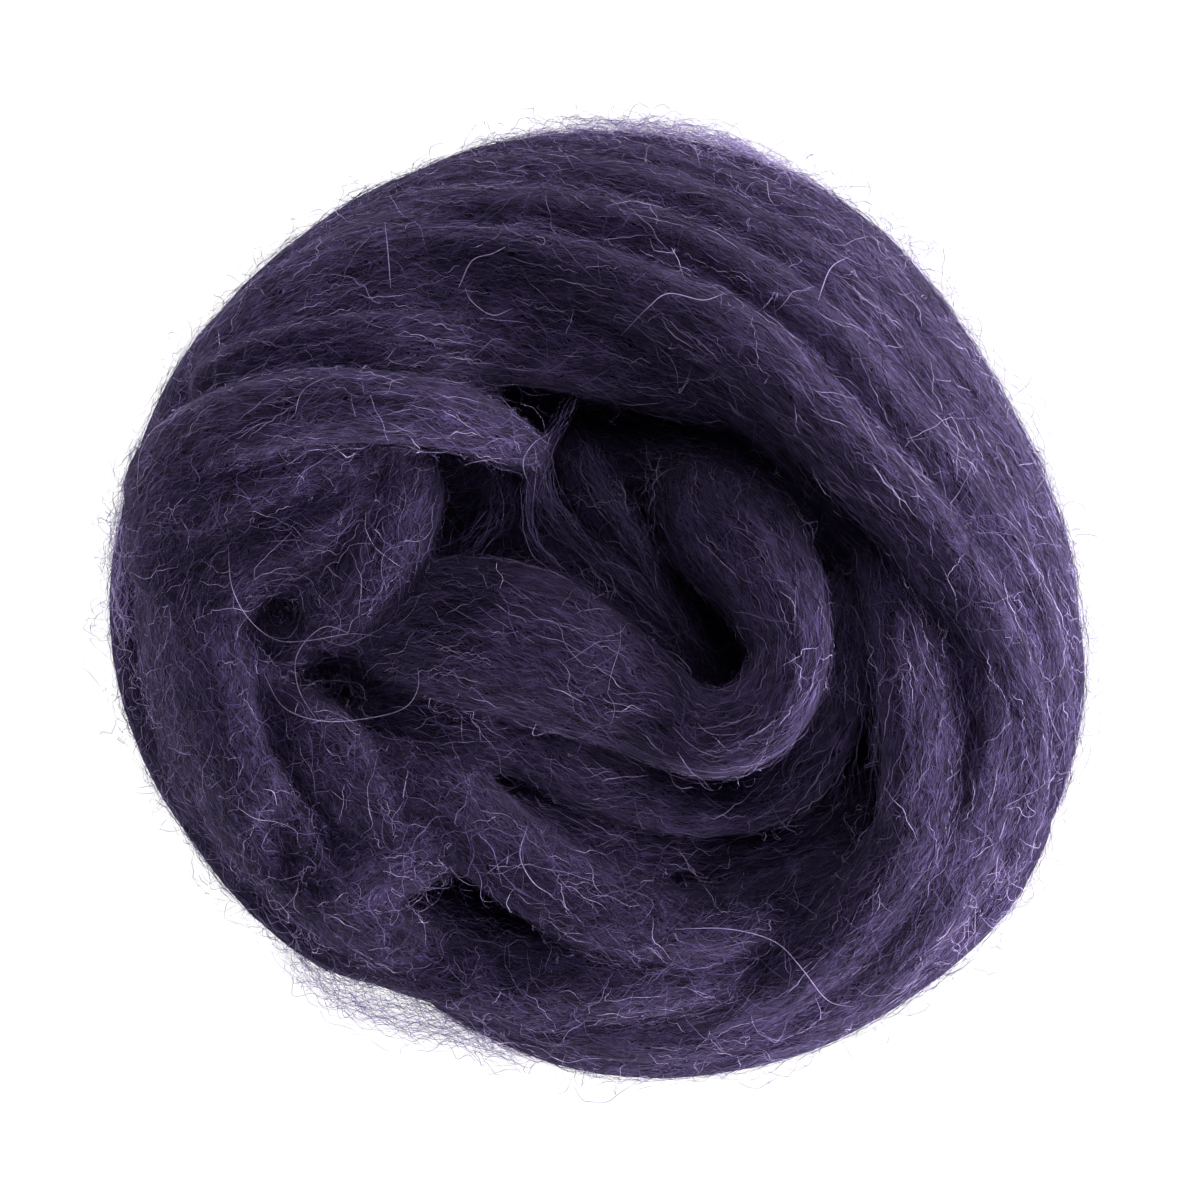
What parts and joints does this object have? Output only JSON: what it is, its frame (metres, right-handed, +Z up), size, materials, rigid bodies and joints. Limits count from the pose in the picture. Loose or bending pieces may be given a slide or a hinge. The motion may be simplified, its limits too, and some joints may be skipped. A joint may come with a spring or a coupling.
{
  "type": "wool roving",
  "caption": "Soft untwisted rope of combed wool, wound loosely into a nest-like ball for spinning, felting or knitting.",
  "frame": {"origin": "on the surface that the nest stands on, under the middle of its box", "axes": "+Z up, out of the open side of the nest; +X to the right and +Y to the top of the picture, which looks straight down"},
  "size_m": [0.1469, 0.1423, 0.0735],
  "materials": {
    "wool": "dark violet combed wool, matt with a soft sheen, loose fibres standing off the surface"
  },
  "bodies": {
    "root": {"wool_roving": "wool"}
  },
  "joints": []
}
